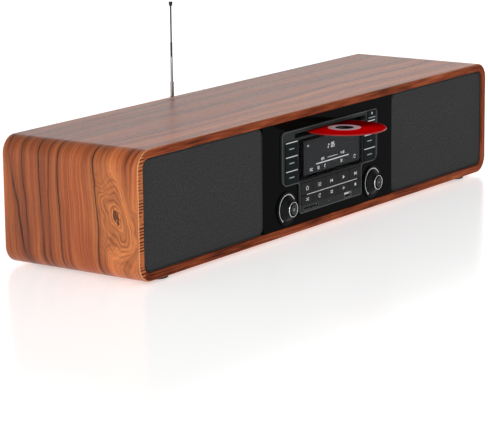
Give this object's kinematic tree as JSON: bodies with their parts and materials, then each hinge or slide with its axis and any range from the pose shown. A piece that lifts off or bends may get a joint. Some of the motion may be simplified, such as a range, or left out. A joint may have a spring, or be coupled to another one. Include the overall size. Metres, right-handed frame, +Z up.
{
  "type": "mini hifi system",
  "caption": "One-piece wooden hi-fi cabinet with two grilles, a gloss control panel, turning knobs, push keys, slot-in disc, ports and a telescopic antenna.",
  "frame": {"origin": "centre of the cabinet footprint on the plane that the rubber feet stand on", "axes": "+X along the cabinet to the right seen from the front, -Y out of the front, +Z up"},
  "size_m": [0.6, 0.218, 0.2079],
  "materials": {
    "walnut": "satin-lacquered walnut veneer",
    "fibreboard": "raw fibreboard",
    "rear_board": "fine grained black",
    "grille_cloth": "charcoal speaker cloth",
    "gloss_black": "piano gloss",
    "bezel_black": "satin gloss",
    "clear_lens": "polished",
    "display": "dark grey liquid crystal",
    "key_black": "satin",
    "knob_black": "satin gloss",
    "ring_black": "gloss",
    "chrome": "polished",
    "chrome_tube": "polished",
    "steel": "brushed",
    "aluminium": "extruded",
    "driver_metal": "black powder coat",
    "cone_paper": "coated paper",
    "disc_red": "printed label under lacquer",
    "circuit_board": "solder mask",
    "black_plastic": "fine grained",
    "screw_black": "black zinc",
    "rubber": "matt"
  },
  "bodies": {
    "cabinet": {"cabinet_shell": "walnut", "front_baffle": "fibreboard", "rear_panel": "rear_board", "rubber_feet": "rubber", "grille_frames": "black_plastic", "left_grille_cloth": "grille_cloth", "right_grille_cloth": "grille_cloth", "gloss_panel": "gloss_black", "control_bezel": "bezel_black", "display_lens": "clear_lens", "display_module": "display", "key_board": "circuit_board", "knob_scale_rings": "ring_black", "rotary_encoders": "steel", "usb_socket": "steel", "card_socket": "steel", "disc_chassis": "steel", "left_driver_frame": "driver_metal", "right_driver_frame": "driver_metal", "port_tubes": "black_plastic", "main_board": "circuit_board", "heat_sink": "aluminium", "rear_sockets": "black_plastic", "case_screws": "screw_black"},
    "left_key_top": {"left_key_top": "key_black"},
    "left_key_middle": {"left_key_middle": "key_black"},
    "left_key_bottom": {"left_key_bottom": "key_black"},
    "right_key_top": {"right_key_top": "key_black"},
    "right_key_middle": {"right_key_middle": "key_black"},
    "right_key_bottom": {"right_key_bottom": "key_black"},
    "eject_key": {"eject_key": "key_black"},
    "upper_key_1": {"upper_key_1": "key_black"},
    "upper_key_2": {"upper_key_2": "key_black"},
    "upper_key_3": {"upper_key_3": "key_black"},
    "upper_key_4": {"upper_key_4": "key_black"},
    "upper_key_5": {"upper_key_5": "key_black"},
    "lower_key_1": {"lower_key_1": "key_black"},
    "lower_key_2": {"lower_key_2": "key_black"},
    "lower_key_3": {"lower_key_3": "key_black"},
    "lower_key_4": {"lower_key_4": "key_black"},
    "lower_key_5": {"lower_key_5": "key_black"},
    "volume_knob": {"volume_knob": "knob_black"},
    "tuning_knob": {"tuning_knob": "knob_black"},
    "power_button": {"power_button": "chrome"},
    "select_button": {"select_button": "chrome"},
    "compact_disc": {"compact_disc": "disc_red"},
    "feed_roller": {"feed_roller": "rubber"},
    "traverse_deck": {"traverse_deck": "steel"},
    "turntable": {"turntable": "black_plastic"},
    "laser_sled": {"laser_sled": "black_plastic"},
    "clamp_arm": {"clamp_arm": "steel"},
    "left_cone": {"left_cone": "cone_paper"},
    "right_cone": {"right_cone": "cone_paper"},
    "power_switch": {"power_switch": "black_plastic"},
    "antenna_swivel": {"antenna_swivel": "black_plastic"},
    "antenna_tube_1": {"antenna_knuckle": "black_plastic", "antenna_tube_1": "chrome_tube"},
    "antenna_tube_2": {"antenna_tube_2": "chrome_tube"},
    "antenna_tube_3": {"antenna_tube_3": "chrome_tube"},
    "antenna_tube_4": {"antenna_tube_4": "chrome_tube"}
  },
  "joints": [
    {"name": "left_key_top_press", "type": "slide", "parent": "cabinet", "child": "left_key_top", "axis": [0, 1, 0], "range_m": [0, 0.0005], "stiffness_N_per_m": 300},
    {"name": "left_key_middle_press", "type": "slide", "parent": "cabinet", "child": "left_key_middle", "axis": [0, 1, 0], "range_m": [0, 0.0005], "stiffness_N_per_m": 300},
    {"name": "left_key_bottom_press", "type": "slide", "parent": "cabinet", "child": "left_key_bottom", "axis": [0, 1, 0], "range_m": [0, 0.0005], "stiffness_N_per_m": 300},
    {"name": "right_key_top_press", "type": "slide", "parent": "cabinet", "child": "right_key_top", "axis": [0, 1, 0], "range_m": [0, 0.0005], "stiffness_N_per_m": 300},
    {"name": "right_key_middle_press", "type": "slide", "parent": "cabinet", "child": "right_key_middle", "axis": [0, 1, 0], "range_m": [0, 0.0005], "stiffness_N_per_m": 300},
    {"name": "right_key_bottom_press", "type": "slide", "parent": "cabinet", "child": "right_key_bottom", "axis": [0, 1, 0], "range_m": [0, 0.0005], "stiffness_N_per_m": 300},
    {"name": "eject_key_press", "type": "slide", "parent": "cabinet", "child": "eject_key", "axis": [0, 1, 0], "range_m": [0, 0.0005], "stiffness_N_per_m": 300},
    {"name": "upper_key_1_press", "type": "slide", "parent": "cabinet", "child": "upper_key_1", "axis": [0, 1, 0], "range_m": [0, 0.0005], "stiffness_N_per_m": 300},
    {"name": "upper_key_2_press", "type": "slide", "parent": "cabinet", "child": "upper_key_2", "axis": [0, 1, 0], "range_m": [0, 0.0005], "stiffness_N_per_m": 300},
    {"name": "upper_key_3_press", "type": "slide", "parent": "cabinet", "child": "upper_key_3", "axis": [0, 1, 0], "range_m": [0, 0.0005], "stiffness_N_per_m": 300},
    {"name": "upper_key_4_press", "type": "slide", "parent": "cabinet", "child": "upper_key_4", "axis": [0, 1, 0], "range_m": [0, 0.0005], "stiffness_N_per_m": 300},
    {"name": "upper_key_5_press", "type": "slide", "parent": "cabinet", "child": "upper_key_5", "axis": [0, 1, 0], "range_m": [0, 0.0005], "stiffness_N_per_m": 300},
    {"name": "lower_key_1_press", "type": "slide", "parent": "cabinet", "child": "lower_key_1", "axis": [0, 1, 0], "range_m": [0, 0.0005], "stiffness_N_per_m": 300},
    {"name": "lower_key_2_press", "type": "slide", "parent": "cabinet", "child": "lower_key_2", "axis": [0, 1, 0], "range_m": [0, 0.0005], "stiffness_N_per_m": 300},
    {"name": "lower_key_3_press", "type": "slide", "parent": "cabinet", "child": "lower_key_3", "axis": [0, 1, 0], "range_m": [0, 0.0005], "stiffness_N_per_m": 300},
    {"name": "lower_key_4_press", "type": "slide", "parent": "cabinet", "child": "lower_key_4", "axis": [0, 1, 0], "range_m": [0, 0.0005], "stiffness_N_per_m": 300},
    {"name": "lower_key_5_press", "type": "slide", "parent": "cabinet", "child": "lower_key_5", "axis": [0, 1, 0], "range_m": [0, 0.0005], "stiffness_N_per_m": 300},
    {"name": "volume_turn", "type": "hinge", "parent": "cabinet", "child": "volume_knob", "pos_m": [-0.0746, -0.075, 0.0287], "axis": [0, 1, 0], "continuous": true},
    {"name": "tuning_turn", "type": "hinge", "parent": "cabinet", "child": "tuning_knob", "pos_m": [0.0746, -0.075, 0.0287], "axis": [0, 1, 0], "continuous": true},
    {"name": "power_button_press", "type": "slide", "parent": "cabinet", "child": "power_button", "axis": [0, 1, 0], "range_m": [0, 0.0008], "stiffness_N_per_m": 300},
    {"name": "select_button_press", "type": "slide", "parent": "cabinet", "child": "select_button", "axis": [0, 1, 0], "range_m": [0, 0.0008], "stiffness_N_per_m": 300},
    {"name": "disc_load", "type": "slide", "parent": "cabinet", "child": "compact_disc", "axis": [0, 1, 0], "range_m": [0, 0.086]},
    {"name": "feed_roller_turn", "type": "hinge", "parent": "cabinet", "child": "feed_roller", "pos_m": [0, -0.051, 0.0899], "axis": [-1, 0, 0], "continuous": true},
    {"name": "deck_lift", "type": "slide", "parent": "cabinet", "child": "traverse_deck", "axis": [0, 0, 1], "range_m": [0, 0.0025]},
    {"name": "turntable_spin", "type": "hinge", "parent": "traverse_deck", "child": "turntable", "pos_m": [0, -0.004, 0.085], "axis": [0, 0, 1], "continuous": true},
    {"name": "laser_sled_slide", "type": "slide", "parent": "traverse_deck", "child": "laser_sled", "axis": [1, 0, 0], "range_m": [0, 0.033]},
    {"name": "clamp_arm_hinge", "type": "hinge", "parent": "cabinet", "child": "clamp_arm", "pos_m": [0, 0.0565, 0.1033], "axis": [1, 0, 0], "range_deg": [0, 2]},
    {"name": "left_cone_stroke", "type": "slide", "parent": "cabinet", "child": "left_cone", "axis": [0, -1, 0], "range_m": [-0.0015, 0.0015], "stiffness_N_per_m": 1500},
    {"name": "right_cone_stroke", "type": "slide", "parent": "cabinet", "child": "right_cone", "axis": [0, -1, 0], "range_m": [-0.0015, 0.0015], "stiffness_N_per_m": 1500},
    {"name": "power_switch_tilt", "type": "hinge", "parent": "cabinet", "child": "power_switch", "pos_m": [0.088, 0.071, 0.035], "axis": [1, 0, 0], "range_deg": [0, 12]},
    {"name": "antenna_swivel_turn", "type": "hinge", "parent": "cabinet", "child": "antenna_swivel", "pos_m": [-0.038, 0.084, 0.081], "axis": [0, 1, 0], "range_deg": [-90, 90]},
    {"name": "antenna_elbow", "type": "hinge", "parent": "antenna_swivel", "child": "antenna_tube_1", "pos_m": [-0.038, 0.084, 0.081], "axis": [-1, 0, 0], "range_deg": [0, 90]},
    {"name": "antenna_slide_2", "type": "slide", "parent": "antenna_tube_1", "child": "antenna_tube_2", "axis": [0, 0, 1], "range_m": [-0.024, 0.012]},
    {"name": "antenna_slide_3", "type": "slide", "parent": "antenna_tube_2", "child": "antenna_tube_3", "axis": [0, 0, 1], "range_m": [-0.0128, 0.022]},
    {"name": "antenna_slide_4", "type": "slide", "parent": "antenna_tube_3", "child": "antenna_tube_4", "axis": [0, 0, 1], "range_m": [-0.035, 0]}
  ],
  "couplings": [
    {"joint": "feed_roller_turn", "follows": "disc_load", "rad_per_m": 250},
    {"joint": "clamp_arm_hinge", "follows": "deck_lift", "rad_per_m": 13.9}
  ]
}
